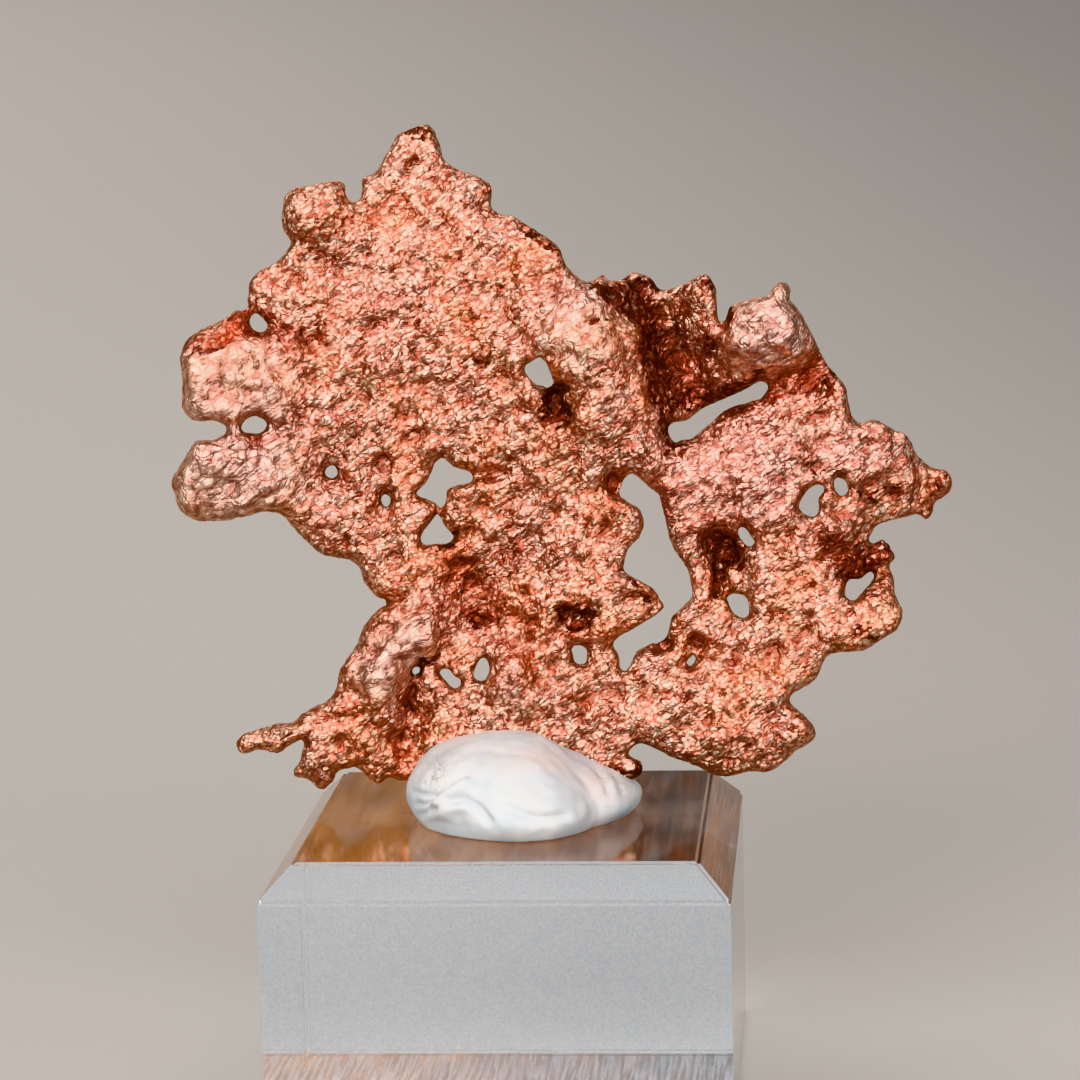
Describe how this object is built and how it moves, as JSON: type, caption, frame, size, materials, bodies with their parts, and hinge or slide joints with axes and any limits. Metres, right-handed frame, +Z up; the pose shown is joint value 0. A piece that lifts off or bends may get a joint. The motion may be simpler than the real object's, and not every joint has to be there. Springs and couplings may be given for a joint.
{
  "type": "native copper nugget",
  "caption": "Rough, lace-like plate of native copper with lumps, pits and open gaps, set upright in white putty on a clear acrylic display block.",
  "frame": {"origin": "centre of the acrylic block's underside", "axes": "+Z up out of the block's top, +X to the right across the nugget's face, -Y out of that face"},
  "size_m": [0.0859, 0.05, 0.1063],
  "materials": {
    "copper": "bare native copper, hammered and pitted, with pink highlights and dark red-brown recesses",
    "tack": "white mounting putty pressed by hand, soft sheen",
    "acrylic": "clear polished acrylic with bevelled top edges"
  },
  "bodies": {
    "root": {"copper_nugget": "copper", "mineral_tack": "tack", "acrylic_block": "acrylic"}
  },
  "joints": []
}
